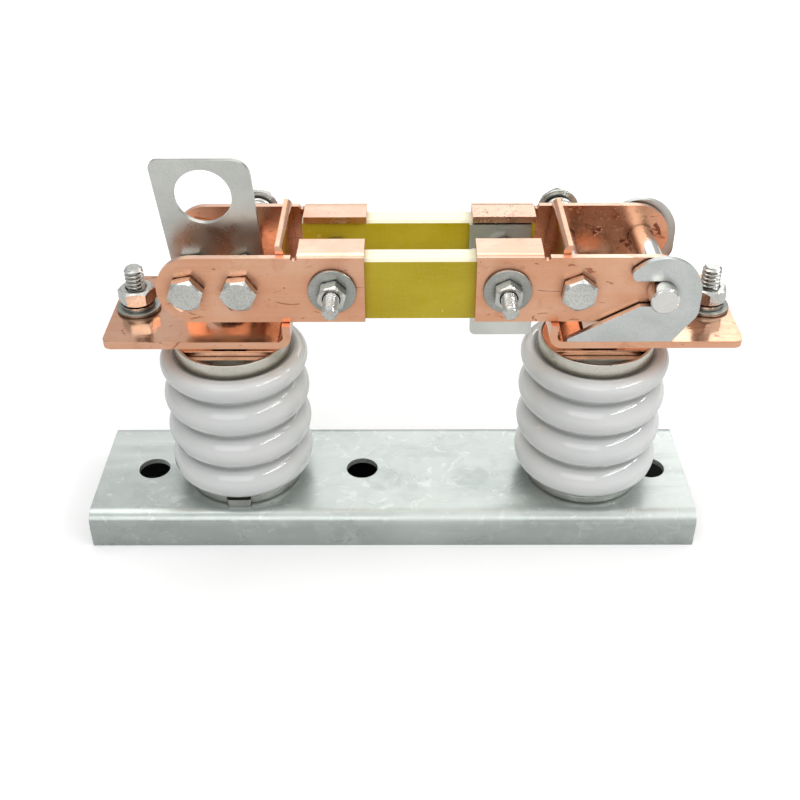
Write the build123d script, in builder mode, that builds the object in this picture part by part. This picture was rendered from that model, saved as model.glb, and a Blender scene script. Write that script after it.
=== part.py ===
import os
from math import cos, radians, sin, sqrt, tan

from build123d import *

os.makedirs("parts", exist_ok=True)

# Frame: X runs along the base, Y from front to back, Z up. The origin lies midway between the two
# outer fastening holes, level with the underside of the base's web, so the feet stand below it.
# All sizes are millimetres.

# Clearances
bolt_clearance = 0.2
pin_clearance = 0.08
slide_clearance = 0.3
press_clearance = 0.05

# Distance within which a selector takes two points as one
same_place = 0.01

# Base channel
base_length = 340
base_middle_x = -5
base_width = 85
base_height = 22
base_wall = 3.5
base_bend_radius = 7.5
base_hole_radius = 9
base_hole_x = (-145, -23, 145)

# Porcelain insulators
left_post_x = -91
right_post_x = 105.5
shed_radius = 40
shed_count = 4
shed_pitch = 21.3
foot_height = 0.95
shoulder_rise = 3.5
waist_radius = 31.5
waist_fillet = 2.2
shoulder_land_radius = 31.6

# Metal ring under each insulator
ring_radius = 32.5
ring_height = 5
ring_edge = 0.8
lug_width = 13.5
lug_reach = 2.2
lug_corner = 1.5
post_bolt_radius = 6
post_bolt_across_flats = 19
post_bolt_head = 7.5

# Cap on each insulator
cap_radius = 31
cap_height = 8.6
cap_lip = 1.6
cap_floor = 2
cap_edge = 0.5

# Plates stacked in the cap
support_plate_thickness = 3
support_plate_width = 40
backing_plate_thickness = 3
backing_plate_width = 32
spacer_across_flats = 28
spacer_height = 13.5
fixing_bolt_radius = 6
fixing_bolt_across_flats = 19
fixing_bolt_head = 7.5

# Terminals, each one a flat copper bar with a contact leg turned up at its inner end
terminal_thickness = 4
terminal_width = 69
terminal_corner = 5
terminal_bend_radius = 7
left_terminal_end_x = -151.5
right_terminal_end_x = 173.5
left_leg_foot_x = -55
right_leg_foot_x = 74.5
left_leg_lean = 2
right_leg_lean = 6
leg_half_width = 26.7
leg_top_corner = 3.5
leg_above_blade = 4.8

# Terminal studs
left_stud_x = -138.5
right_stud_x = 161.5
stud_radius = 5
stud_above_terminal = 24.5
thread_depth = 0.3
stud_point = 1
stud_nut_across_flats = 17
stud_nut_height = 8.4
flat_washer_radius = 11.5
flat_washer_thickness = 2
spring_washer_radius = 9
spring_washer_thickness = 2.5
spring_washer_slit = 1.5

# Blades: a contact copper, an insulating bar and a hinge copper on each side
axis_above_terminal = 27.5
blade_height = 36
blade_thickness = 3.5
contact_end_x = -120.5
contact_inner_x = -17.5
hinge_inner_x = 37.5
pin_x = 128.5
hinge_end_beyond_pin = 14.5
flange_length = 32.5
flange_reach = 18.5
flange_rise = 1
flange_bend_radius = 4.5
relief_radius = 1.6
bar_left_x = -51
bar_right_x = 70
bar_thickness = 12
bar_edge = 1.2
bar_below_flange = 0.3

# Steel plates on the inner faces of the bars
steel_plate_left_x = 36
steel_plate_right_x = 68
steel_plate_below_axis = 35.3
steel_plate_thickness = 2
steel_plate_corner = 3

# Pull plate with its round eye
pull_plate_thickness = 3
pull_plate_front_y = -7.5
pull_plate_below_axis = 13
pull_plate_above_axis = 58.5
pull_plate_foot_left_x = -114.4
pull_plate_foot_right_x = -67.9
pull_plate_top_left_x = -122
pull_plate_top_right_x = -73
pull_plate_small_corner = 4
pull_plate_large_corner = 9
eye_x = -96.6
eye_above_axis = 39.6
eye_radius = 14.2

# Hinge pin and the bracket with two hooks that holds it
pin_radius = 7
pin_beyond_blade = 12
pin_edge = 0.8
hook_clearance = 1
hook_thickness = 3
hook_radius = 19.3
hook_mouth = 10
nose_underside = 11
nose_tip = (-15.6, 10.8)
hook_heel_drop = 12
hook_heel_radius = 8
hook_foot_left_x = 84
hook_foot_right_x = 136.5
hook_toe_height = 1.5
hook_web_left_x = 93

# Bolts across the blades
short_bolt_x = -105.5
long_bolt_x = -79.5
hinge_bolt_x = 88
bolt_radius = 5
bolt_across_flats = 16
bolt_head_height = 6.4
bolt_nut_height = 8.4
bolt_washer_radius = 11.5
bolt_washer_thickness = 1.6
spring_coil_radius = 7.4
spring_wire_radius = 1.3
spring_length = 28
spring_turns = 5
bolt_end_beyond_nut = 3
hex_crown_length = 0.09
hex_crown_depth = 0.05
hex_blank_margin = 0.1

# Studs for the fuse strips
left_fuse_x = -33.5
right_fuse_x = 53
fuse_stud_radius = 4
fuse_stud_end = 23
fuse_across_flats = 13
fuse_head_height = 5.3
fuse_nut_height = 6.8
fuse_washer_radius = 12
fuse_washer_thickness = 2

# Levels and faces that follow from the sizes above
base_top_z = base_wall
base_foot_z = base_wall - base_height
ring_top_z = base_top_z + ring_height
bottom_shed_z = ring_top_z + foot_height + shed_pitch / 2
top_shed_z = bottom_shed_z + (shed_count - 1) * shed_pitch
porcelain_top_z = top_shed_z + shoulder_rise
cap_top_z = porcelain_top_z + cap_height
cap_floor_z = porcelain_top_z + cap_floor
recess_radius = cap_radius - cap_lip
backing_z = cap_floor_z + support_plate_thickness
spacer_z = backing_z + backing_plate_thickness
terminal_z = spacer_z + spacer_height
terminal_top_z = terminal_z + terminal_thickness
stud_top_z = terminal_top_z + stud_above_terminal
stud_nut_top_z = terminal_top_z + flat_washer_thickness + spring_washer_thickness + stud_nut_height
axis_z = terminal_top_z + axis_above_terminal
steel_plate_bottom_z = axis_z - steel_plate_below_axis
pull_plate_bottom_z = axis_z - pull_plate_below_axis
pull_plate_top_z = axis_z + pull_plate_above_axis
eye_z = axis_z + eye_above_axis
blade_top_z = axis_z + blade_height / 2
blade_bottom_z = axis_z - blade_height / 2
leg_shoulder_z = blade_bottom_z - slide_clearance
leg_top_z = blade_top_z + leg_above_blade
blade_inner_y = leg_half_width + slide_clearance
blade_outer_y = blade_inner_y + blade_thickness
flange_top_z = blade_top_z + flange_rise
bar_top_z = flange_top_z - blade_thickness - bar_below_flange
bar_inner_y = blade_inner_y - bar_thickness
steel_plate_y = bar_inner_y - steel_plate_thickness
hook_inner_y = blade_outer_y + hook_clearance
seat_radius = pin_radius + pin_clearance
bolt_hole_radius = bolt_radius + bolt_clearance
fuse_hole_radius = fuse_stud_radius + bolt_clearance
rear_nut_y = blade_outer_y + 2 * bolt_washer_thickness + spring_length
bolt_end_y = rear_nut_y + bolt_nut_height + bolt_end_beyond_nut


def save(part, name):
    part.label = name
    export_step(part, f"parts/{name}.step")


def section_plane(y, x=0, z=0):
    """Plane facing the front at depth y, whose sketch coordinates run along X and Z."""
    return Plane(origin=(x, y, z), x_dir=(1, 0, 0), z_dir=(0, -1, 0))


def backward_plane(x, y, z):
    """Plane facing the back, so that a positive extrusion runs towards +Y."""
    return Plane(origin=(x, y, z), x_dir=(1, 0, 0), z_dir=(0, 1, 0))


def upward_plane(x, z):
    """Level plane at height z on the middle line, with its origin at x."""
    return Plane.XY.offset(z).move(Location((x, 0, 0)))


def post_axis(x):
    return Axis((x, 0, 0), (0, 0, 1))


# Base: a channel with its web on top, both bends round, open at its ends and below
with BuildPart() as base_channel:
    with BuildSketch(Plane.YZ.offset(base_middle_x)):
        with Locations((0, base_top_z)):
            Rectangle(base_width, base_height, align=(Align.CENTER, Align.MAX))
        fillet(vertices().group_by(Axis.Y)[-1], base_bend_radius)
    extrude(amount=base_length / 2, both=True)
    with BuildSketch(Plane.YZ.offset(base_middle_x)):
        with Locations((0, base_foot_z)):
            Rectangle(base_width - 2 * base_wall, -base_foot_z, align=(Align.CENTER, Align.MIN))
        fillet(vertices().group_by(Axis.Y)[-1], base_bend_radius - base_wall)
    extrude(amount=base_length / 2, both=True, mode=Mode.SUBTRACT)
    with Locations(*[(x, 0, base_top_z) for x in base_hole_x]):
        Hole(base_hole_radius, depth=base_wall)
    with Locations((left_post_x, 0, base_top_z), (right_post_x, 0, base_top_z)):
        Hole(post_bolt_radius + bolt_clearance, depth=base_wall)
save(base_channel.part, "base_channel")


# Insulators: turned bodies with round sheds, a flat foot and a rounded shoulder
def insulator(x):
    half_pitch = shed_pitch / 2
    foot_z = bottom_shed_z - half_pitch
    with BuildPart() as post:
        with BuildSketch(section_plane(0, x)):
            with BuildLine():
                Polyline(
                    (0, porcelain_top_z), (0, ring_top_z), (waist_radius, ring_top_z), (waist_radius, foot_z)
                )
                for shed in range(shed_count - 1):
                    z = bottom_shed_z + shed * shed_pitch
                    ThreePointArc(
                        (waist_radius, z - half_pitch), (shed_radius, z), (waist_radius, z + half_pitch)
                    )
                lower_waist_z = top_shed_z - half_pitch
                bulge = shed_radius - waist_radius
                arc_radius = (bulge**2 + half_pitch**2) / (2 * bulge)
                belly = RadiusArc((waist_radius, lower_waist_z), (shed_radius, top_shed_z), -arc_radius)
                TangentArc(belly @ 1, (shoulder_land_radius, porcelain_top_z), tangent=belly % 1)
                Line((shoulder_land_radius, porcelain_top_z), (0, porcelain_top_z))
            make_face()
            waists = vertices().filter_by(
                lambda corner: abs(corner.X - waist_radius) < same_place and corner.Y > foot_z + half_pitch
            )
            fillet(waists, waist_fillet)
        revolve(axis=post_axis(x))
    return post.part


save(insulator(left_post_x), "left_insulator")
save(insulator(right_post_x), "right_insulator")


# Rings that carry the insulators on the base, the left one with a small cast lug in front
def base_ring(x):
    with BuildPart() as ring:
        with BuildSketch(Plane.XY.offset(base_top_z)):
            with Locations((x, 0)):
                Circle(ring_radius)
                Circle(post_bolt_radius + press_clearance, mode=Mode.SUBTRACT)
        extrude(amount=ring_height)
        rims = ring.edges().filter_by(GeomType.CIRCLE).filter_by(lambda rim: rim.radius > ring_radius - 1)
        chamfer(rims, ring_edge)
        if x == left_post_x:
            with BuildSketch(Plane.XY.offset(base_top_z)):
                with Locations((x, 0)):
                    Rectangle(lug_width, ring_radius + lug_reach, align=(Align.CENTER, Align.MAX))
                    fillet(vertices().group_by(Axis.Y)[0], lug_corner)
                    Circle(ring_radius - ring_edge, mode=Mode.SUBTRACT)
            extrude(amount=ring_height)
    return ring.part


save(base_ring(left_post_x), "left_base_ring")
save(base_ring(right_post_x), "right_base_ring")


# Hex bolts and nuts: turned blanks with a crown, then cut to six flats
def hex_blank(plane, across_flats, height):
    with BuildPart() as blank:
        with BuildSketch(plane):
            Circle(across_flats / sqrt(3) + hex_blank_margin)
        extrude(amount=height)
        outer_rim = blank.edges().filter_by(GeomType.CIRCLE).sort_by(Axis(plane.origin, plane.z_dir))[-1]
        chamfer(outer_rim, hex_crown_depth * across_flats, hex_crown_length * across_flats)
        with BuildSketch(plane):
            RegularPolygon(across_flats / 2, 6, major_radius=False)
        extrude(amount=height, mode=Mode.INTERSECT)
    return blank.part


def hex_bolt(seat, across_flats, head_height, shank_radius, shank_length):
    """Bolt whose head rises along the seat plane's normal and whose shank runs the other way."""
    with BuildPart() as bolt:
        add(hex_blank(seat, across_flats, head_height))
        with BuildSketch(seat):
            Circle(shank_radius)
        extrude(amount=-shank_length)
        chamfer(bolt.edges().filter_by(GeomType.CIRCLE).sort_by(Axis(seat.origin, seat.z_dir))[0], stud_point)
    return bolt.part


def hex_nut(seat, across_flats, height, bore_radius):
    with BuildPart() as nut:
        add(hex_blank(seat, across_flats, height))
        with BuildSketch(seat):
            Circle(bore_radius)
        extrude(amount=height, mode=Mode.SUBTRACT)
    return nut.part


# Caps: shallow metal cups on the insulators, with a thin lip round the recess
def cap(x):
    with BuildPart() as cup:
        with BuildSketch(Plane.XY.offset(porcelain_top_z)):
            with Locations((x, 0)):
                Circle(cap_radius)
        extrude(amount=cap_height)
        fillet(cup.edges().group_by(Axis.Z)[-1], cap_edge)
        with BuildSketch(Plane.XY.offset(cap_floor_z)):
            with Locations((x, 0)):
                Circle(recess_radius)
        extrude(amount=cap_top_z - cap_floor_z, mode=Mode.SUBTRACT)
        with BuildSketch(Plane.XY.offset(porcelain_top_z)):
            with Locations((x, 0)):
                Circle(fixing_bolt_radius + press_clearance)
        extrude(amount=cap_floor, mode=Mode.SUBTRACT)
    return cup.part


save(cap(left_post_x), "left_cap")
save(cap(right_post_x), "right_cap")


# Plates in each cap: flat bars cut round at their ends to drop into the recess
def recess_plate(x, z, width, thickness):
    with BuildPart() as plate:
        with BuildSketch(Plane.XY.offset(z)):
            with Locations((x, 0)):
                Circle(recess_radius - slide_clearance)
                Rectangle(2 * cap_radius, width, mode=Mode.INTERSECT)
                Circle(fixing_bolt_radius + bolt_clearance, mode=Mode.SUBTRACT)
        extrude(amount=thickness)
    return plate.part


for side, post_x in (("left", left_post_x), ("right", right_post_x)):
    support = recess_plate(post_x, cap_floor_z, support_plate_width, support_plate_thickness)
    backing = recess_plate(post_x, backing_z, backing_plate_width, backing_plate_thickness)
    save(support, f"{side}_support_plate")
    save(backing, f"{side}_backing_plate")

    # A tall hex spacer stands on the plates and carries the terminal
    spacer_seat = upward_plane(post_x, spacer_z)
    spacer = hex_nut(spacer_seat, spacer_across_flats, spacer_height, fixing_bolt_radius + bolt_clearance)
    save(spacer, f"{side}_spacer")


# Terminals: one bar bent up at its inner end, wide where it lies flat and narrow between the blades
def terminal(end_x, foot_x, lean, post_x, stud_x):
    outward = 1 if end_x > foot_x else -1
    middle = terminal_thickness / 2
    leg_height = leg_top_z - terminal_z - middle
    bar_middle_z = terminal_z + middle
    leg_middle_x = foot_x + outward * middle
    leg_top_x = leg_middle_x + outward * leg_height * tan(radians(lean))
    with BuildPart() as bar:
        with BuildSketch(section_plane(0)):
            with BuildLine():
                FilletPolyline(
                    (end_x, bar_middle_z),
                    (leg_middle_x, bar_middle_z),
                    (leg_top_x, leg_top_z),
                    radius=terminal_bend_radius - middle,
                )
            trace(line_width=terminal_thickness)
        extrude(amount=terminal_width / 2, both=True)
        with BuildSketch(Plane.YZ.offset(foot_x - terminal_width)):
            for side_y in (leg_half_width, -leg_half_width - terminal_width):
                with Locations((side_y, leg_shoulder_z)):
                    Rectangle(terminal_width, blade_height * 2, align=(Align.MIN, Align.MIN))
        extrude(amount=2 * terminal_width, mode=Mode.SUBTRACT)
        tip_edges = bar.edges().group_by(Axis.Z)[-1].group_by(SortBy.LENGTH)[0]
        fillet(tip_edges, leg_top_corner)
        end_edges = bar.edges().filter_by(Axis.Z).group_by(Axis.X)[0 if outward < 0 else -1]
        fillet(end_edges, terminal_corner)
        with BuildSketch(Plane.XY.offset(terminal_z)):
            with Locations((post_x, 0)):
                Circle(fixing_bolt_radius + bolt_clearance)
            with Locations((stud_x, 0)):
                Circle(stud_radius + press_clearance)
        extrude(amount=terminal_thickness, mode=Mode.SUBTRACT)
    return bar.part


left_terminal = terminal(left_terminal_end_x, left_leg_foot_x, left_leg_lean, left_post_x, left_stud_x)
right_terminal = terminal(right_terminal_end_x, right_leg_foot_x, right_leg_lean, right_post_x, right_stud_x)
save(left_terminal, "left_terminal")
save(right_terminal, "right_terminal")


# Bracket: two hooked cheeks stand on the right terminal and hold the hinge pin from outside the blades
with BuildPart() as hook_bracket:
    with BuildSketch(section_plane(-hook_inner_y)):
        with BuildLine():
            lower_lip = (pin_x - hook_mouth, axis_z - seat_radius)
            nose_heel = (pin_x - nose_underside, axis_z + seat_radius)
            nose_peak_x = pin_x - hook_radius * cos(radians(45))
            nose_peak_z = axis_z + hook_radius * sin(radians(45))
            heel_x = pin_x + hook_radius
            Line((hook_foot_left_x, terminal_top_z), (hook_foot_left_x, terminal_top_z + hook_toe_height))
            Line((hook_foot_left_x, terminal_top_z + hook_toe_height), lower_lip)
            Line(lower_lip, (pin_x, axis_z - seat_radius))
            ThreePointArc(
                (pin_x, axis_z - seat_radius), (pin_x + seat_radius, axis_z), (pin_x, axis_z + seat_radius)
            )
            Line((pin_x, axis_z + seat_radius), nose_heel)
            ThreePointArc(nose_heel, (pin_x + nose_tip[0], axis_z + nose_tip[1]), (nose_peak_x, nose_peak_z))
            ThreePointArc((nose_peak_x, nose_peak_z), (pin_x, axis_z + hook_radius), (heel_x, axis_z))
            FilletPolyline(
                (heel_x, axis_z),
                (heel_x, axis_z - hook_heel_drop),
                (hook_foot_right_x, terminal_top_z),
                radius=hook_heel_radius,
            )
            Line((hook_foot_right_x, terminal_top_z), (hook_foot_left_x, terminal_top_z))
        make_face()
    extrude(amount=hook_thickness)
    mirror(about=Plane.XZ)
    with BuildSketch(Plane.XY.offset(terminal_top_z)):
        with Locations((hook_web_left_x, 0)):
            Rectangle(
                hook_foot_right_x - hook_web_left_x, 2 * hook_inner_y, align=(Align.MIN, Align.CENTER)
            )
        with Locations((right_post_x, 0)):
            Circle(fixing_bolt_radius + bolt_clearance, mode=Mode.SUBTRACT)
    extrude(amount=hook_thickness)
save(hook_bracket.part, "hook_bracket")


# Fixing bolts: each one clamps a terminal through its spacer and plates into the cap
def fixing_bolt(x, seat_z):
    seat = upward_plane(x, seat_z)
    length = seat_z - porcelain_top_z
    return hex_bolt(seat, fixing_bolt_across_flats, fixing_bolt_head, fixing_bolt_radius, length)


save(fixing_bolt(left_post_x, terminal_top_z), "left_fixing_bolt")
save(fixing_bolt(right_post_x, terminal_top_z + hook_thickness), "right_fixing_bolt")


# Base bolts: heads under the web, shanks up into the rings
def base_bolt(x):
    seat = Plane(origin=(x, 0, 0), x_dir=(1, 0, 0), z_dir=(0, 0, -1))
    length = base_wall + ring_height
    return hex_bolt(seat, post_bolt_across_flats, post_bolt_head, post_bolt_radius, length)


save(base_bolt(left_post_x), "left_base_bolt")
save(base_bolt(right_post_x), "right_base_bolt")


def washer(seat, outer_radius, bore_radius, thickness):
    with BuildPart() as ring:
        with BuildSketch(seat):
            Circle(outer_radius)
            Circle(bore_radius, mode=Mode.SUBTRACT)
        extrude(amount=thickness)
    return ring.part


# Terminal studs with a flat washer, a slit spring washer and a nut. Threads are left plain: the free
# end has the crest's radius, and what is inside the nut and washers is a thread's depth thinner
for side, stud_x in (("left", left_stud_x), ("right", right_stud_x)):
    with BuildPart() as stud:
        with BuildSketch(Plane.XY.offset(terminal_z)):
            with Locations((stud_x, 0)):
                Circle(stud_radius)
        extrude(amount=stud_top_z - terminal_z)
        chamfer(stud.edges().group_by(Axis.Z)[-1], stud_point)
        with BuildSketch(Plane.XY.offset(terminal_top_z)):
            with Locations((stud_x, 0)):
                Circle(stud_radius)
                Circle(stud_radius - thread_depth, mode=Mode.SUBTRACT)
        extrude(amount=stud_nut_top_z - terminal_top_z, mode=Mode.SUBTRACT)
    save(stud.part, f"{side}_terminal_stud")

    washer_seat = upward_plane(stud_x, terminal_top_z)
    stud_bore = stud_radius + bolt_clearance
    save(washer(washer_seat, flat_washer_radius, stud_bore, flat_washer_thickness), f"{side}_flat_washer")

    spring_seat = washer_seat.offset(flat_washer_thickness)
    with BuildPart() as spring_washer:
        with BuildSketch(spring_seat):
            Circle(spring_washer_radius)
            Circle(stud_bore, mode=Mode.SUBTRACT)
            with Locations((spring_washer_radius, 0)):
                Rectangle(2 * (spring_washer_radius - stud_radius), spring_washer_slit, mode=Mode.SUBTRACT)
        extrude(amount=spring_washer_thickness)
    save(spring_washer.part, f"{side}_spring_washer")

    nut_seat = spring_seat.offset(spring_washer_thickness)
    save(hex_nut(nut_seat, stud_nut_across_flats, stud_nut_height, stud_bore), f"{side}_terminal_nut")


# Coppers of the front blade: flat strips whose upper edge is turned in over the insulating bar
def blade_copper(end_x, end_center_x, inner_x, hole_positions):
    outward = 1 if end_x > inner_x else -1
    flange_end_x = inner_x + outward * flange_length
    half_height = blade_height / 2
    with BuildPart() as copper:
        with BuildSketch(section_plane(-blade_inner_y)):
            with Locations((end_center_x, axis_z)):
                Circle(half_height)
            with Locations(((end_center_x + inner_x) / 2, axis_z)):
                Rectangle(abs(end_center_x - inner_x), blade_height)
        extrude(amount=blade_thickness)
        with BuildSketch(Plane.YZ.offset(min(inner_x, flange_end_x))):
            with BuildLine():
                Polyline(
                    (-blade_inner_y, axis_z),
                    (-blade_outer_y, axis_z),
                    (-blade_outer_y, flange_top_z),
                    (flange_reach - blade_outer_y, flange_top_z),
                    (flange_reach - blade_outer_y, flange_top_z - blade_thickness),
                    (-blade_inner_y, flange_top_z - blade_thickness),
                    close=True,
                )
            make_face()
            outer_bend = vertices().group_by(Axis.Y)[-1].sort_by(Axis.X)[0]
            fillet(outer_bend, flange_bend_radius)
            inner_bend = vertices().filter_by(
                lambda corner: abs(corner.X + blade_inner_y) < same_place and corner.Y > axis_z + same_place
            )
            fillet(inner_bend, flange_bend_radius - blade_thickness)
        extrude(amount=flange_length)
        with BuildSketch(section_plane(-blade_inner_y)):
            with Locations((flange_end_x + outward * relief_radius, blade_top_z)):
                Circle(relief_radius)
        extrude(amount=blade_thickness, mode=Mode.SUBTRACT)
        with BuildSketch(section_plane(-blade_inner_y)):
            for x, radius in hole_positions:
                with Locations((x, axis_z)):
                    Circle(radius)
        extrude(amount=blade_thickness, mode=Mode.SUBTRACT)
    return copper.part


contact_copper = blade_copper(
    contact_end_x,
    contact_end_x + blade_height / 2,
    contact_inner_x,
    [(short_bolt_x, bolt_hole_radius), (long_bolt_x, bolt_hole_radius), (left_fuse_x, fuse_hole_radius)],
)
hinge_end_x = pin_x + hinge_end_beyond_pin
hinge_copper = blade_copper(
    hinge_end_x,
    hinge_end_x - blade_height / 2,
    hinge_inner_x,
    [
        (pin_x, pin_radius + press_clearance),
        (hinge_bolt_x, bolt_hole_radius),
        (right_fuse_x, fuse_hole_radius),
    ],
)


# Insulating bar of the front blade, behind both coppers
with BuildPart() as bar:
    with BuildSketch(section_plane(-bar_inner_y)):
        with Locations((bar_left_x, blade_bottom_z)):
            Rectangle(bar_right_x - bar_left_x, bar_top_z - blade_bottom_z, align=(Align.MIN, Align.MIN))
        with Locations((left_fuse_x, axis_z), (right_fuse_x, axis_z)):
            Circle(fuse_hole_radius, mode=Mode.SUBTRACT)
    extrude(amount=bar_thickness)
    upper_edges = bar.edges().filter_by(Axis.X).group_by(Axis.Z)[-1]
    chamfer(upper_edges, bar_edge)


# Steel plate on the inner face of the front bar, under the hinge copper's stud
with BuildPart() as steel_plate:
    with BuildSketch(section_plane(-steel_plate_y)):
        with Locations((steel_plate_left_x, steel_plate_bottom_z)):
            Rectangle(
                steel_plate_right_x - steel_plate_left_x,
                bar_top_z - bar_edge - steel_plate_bottom_z,
                align=(Align.MIN, Align.MIN),
            )
            fillet(vertices().group_by(Axis.Y)[0], steel_plate_corner)
        with Locations((right_fuse_x, axis_z)):
            Circle(fuse_hole_radius, mode=Mode.SUBTRACT)
    extrude(amount=steel_plate_thickness)


# The rear blade is the front one mirrored in the middle plane
for name, front_piece in (
    ("contact_copper", contact_copper),
    ("hinge_copper", hinge_copper),
    ("insulating_bar", bar.part),
    ("steel_plate", steel_plate.part),
):
    save(front_piece, f"front_{name}")
    save(mirror(front_piece, about=Plane.XZ), f"rear_{name}")


# Pull plate: a leaning sheet with a round eye for a hook stick
with BuildPart() as pull_plate:
    with BuildSketch(section_plane(pull_plate_front_y + pull_plate_thickness)):
        with BuildLine():
            Polyline(
                (pull_plate_foot_left_x, pull_plate_bottom_z),
                (pull_plate_foot_right_x, pull_plate_bottom_z),
                (pull_plate_top_right_x, pull_plate_top_z),
                (pull_plate_top_left_x, pull_plate_top_z),
                close=True,
            )
        make_face()
        fillet(vertices().group_by(Axis.Y)[0], pull_plate_small_corner)
        fillet(vertices().group_by(Axis.Y)[-1].sort_by(Axis.X)[0], pull_plate_small_corner)
        fillet(vertices().group_by(Axis.Y)[-1].sort_by(Axis.X)[-1], pull_plate_large_corner)
        with Locations((eye_x, eye_z)):
            Circle(eye_radius, mode=Mode.SUBTRACT)
        with Locations((short_bolt_x, axis_z), (long_bolt_x, axis_z)):
            Circle(bolt_hole_radius, mode=Mode.SUBTRACT)
    extrude(amount=pull_plate_thickness)
save(pull_plate.part, "pull_plate")


# Hinge pin: a plain steel pin pressed into both blades, its ends standing out through the hooks
with BuildPart() as hinge_pin:
    with BuildSketch(section_plane(0)):
        with Locations((pin_x, axis_z)):
            Circle(pin_radius)
    extrude(amount=blade_outer_y + pin_beyond_blade, both=True)
    chamfer(hinge_pin.edges().filter_by(GeomType.CIRCLE), pin_edge)
save(hinge_pin.part, "hinge_pin")


# Bolts across the blades: heads in front, the two long ones sprung behind the rear blade
pull_plate_back_y = pull_plate_front_y + pull_plate_thickness
short_length = blade_outer_y + pull_plate_back_y + bolt_nut_height + bolt_end_beyond_nut
long_length = blade_outer_y + bolt_end_y
for name, bolt_x, length in (
    ("short_bolt", short_bolt_x, short_length),
    ("long_bolt", long_bolt_x, long_length),
    ("hinge_bolt", hinge_bolt_x, long_length),
):
    seat = section_plane(-blade_outer_y, bolt_x, axis_z)
    bolt = hex_bolt(seat, bolt_across_flats, bolt_head_height, bolt_radius, length)
    save(bolt, name)


# Nuts that clamp the pull plate on both bolts, two before it and two behind
def solids_of(*pieces):
    return Compound(children=[solid for piece in pieces for solid in piece.solids()])


plate_nuts = []
for bolt_x in (short_bolt_x, long_bolt_x):
    front_seat = section_plane(pull_plate_front_y, bolt_x, axis_z)
    rear_seat = backward_plane(bolt_x, pull_plate_back_y, axis_z)
    for seat in (front_seat, rear_seat):
        plate_nuts.append(hex_nut(seat, bolt_across_flats, bolt_nut_height, bolt_hole_radius))
save(solids_of(*plate_nuts), "pull_plate_nuts")


# Springs behind the rear blade, each between two washers and held by a nut
for name, bolt_x in (("long_bolt", long_bolt_x), ("hinge_bolt", hinge_bolt_x)):
    first_seat = backward_plane(bolt_x, blade_outer_y, axis_z)
    last_seat = first_seat.offset(bolt_washer_thickness + spring_length)
    first_washer = washer(first_seat, bolt_washer_radius, bolt_hole_radius, bolt_washer_thickness)
    last_washer = washer(last_seat, bolt_washer_radius, bolt_hole_radius, bolt_washer_thickness)
    save(solids_of(first_washer, last_washer), f"{name}_washers")

    nut_seat = last_seat.offset(bolt_washer_thickness)
    save(hex_nut(nut_seat, bolt_across_flats, bolt_nut_height, bolt_hole_radius), f"{name}_nut")

    coil_start = (bolt_x, blade_outer_y + bolt_washer_thickness + spring_wire_radius, axis_z)
    coil_height = spring_length - 2 * spring_wire_radius
    with BuildPart() as spring:
        with BuildLine():
            coil = Helix(
                pitch=coil_height / spring_turns,
                height=coil_height,
                radius=spring_coil_radius,
                center=coil_start,
                direction=(0, 1, 0),
            )
        with BuildSketch(Plane(origin=coil @ 0, z_dir=coil % 0)):
            Circle(spring_wire_radius)
        sweep(path=coil, is_frenet=True)
    save(spring.part, f"{name}_spring")


# Fuse studs: hex heads inside, threaded ends outside with a large washer and a nut, and the same
# thinner stretch from the head to the nut's outer face
def fuse_stud(x, head_y):
    seat = backward_plane(x, -head_y, axis_z)
    length = blade_outer_y - head_y + fuse_stud_end
    clamped_length = blade_outer_y - head_y + fuse_washer_thickness + fuse_nut_height
    with BuildPart() as stud:
        add(hex_bolt(seat, fuse_across_flats, fuse_head_height, fuse_stud_radius, length))
        with BuildSketch(seat):
            Circle(fuse_stud_radius)
            Circle(fuse_stud_radius - thread_depth, mode=Mode.SUBTRACT)
        extrude(amount=-clamped_length, mode=Mode.SUBTRACT)
    return stud.part


front_studs = [fuse_stud(left_fuse_x, bar_inner_y), fuse_stud(right_fuse_x, steel_plate_y)]
front_washers = []
front_nuts = []
for fuse_x in (left_fuse_x, right_fuse_x):
    seat = section_plane(-blade_outer_y, fuse_x, axis_z)
    front_washers.append(washer(seat, fuse_washer_radius, fuse_hole_radius, fuse_washer_thickness))
    nut_seat = seat.offset(fuse_washer_thickness)
    front_nuts.append(hex_nut(nut_seat, fuse_across_flats, fuse_nut_height, fuse_hole_radius))
for name, pieces in (("fuse_studs", front_studs), ("fuse_washers", front_washers), ("fuse_nuts", front_nuts)):
    save(solids_of(*pieces), f"front_{name}")
    save(solids_of(*[mirror(piece, about=Plane.XZ) for piece in pieces]), f"rear_{name}")
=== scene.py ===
# %% [markdown]
# # A knife-fuse switch, finished for its portrait
#
# The object is an outdoor low-voltage switch: two copper blades with yellow epoxy bars swing on a pin in a
# hook bracket, and stand on two porcelain insulators and a galvanised channel. The shapes with exact sizes
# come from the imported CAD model. This lesson adds what CAD leaves plain: threads, coiled springs, glaze,
# worn zinc, polished copper, light and a camera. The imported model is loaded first, as a fixed frame, so
# that every later piece can be measured against it.

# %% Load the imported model
import math

import bpy
from mathutils import Matrix, Vector


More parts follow.
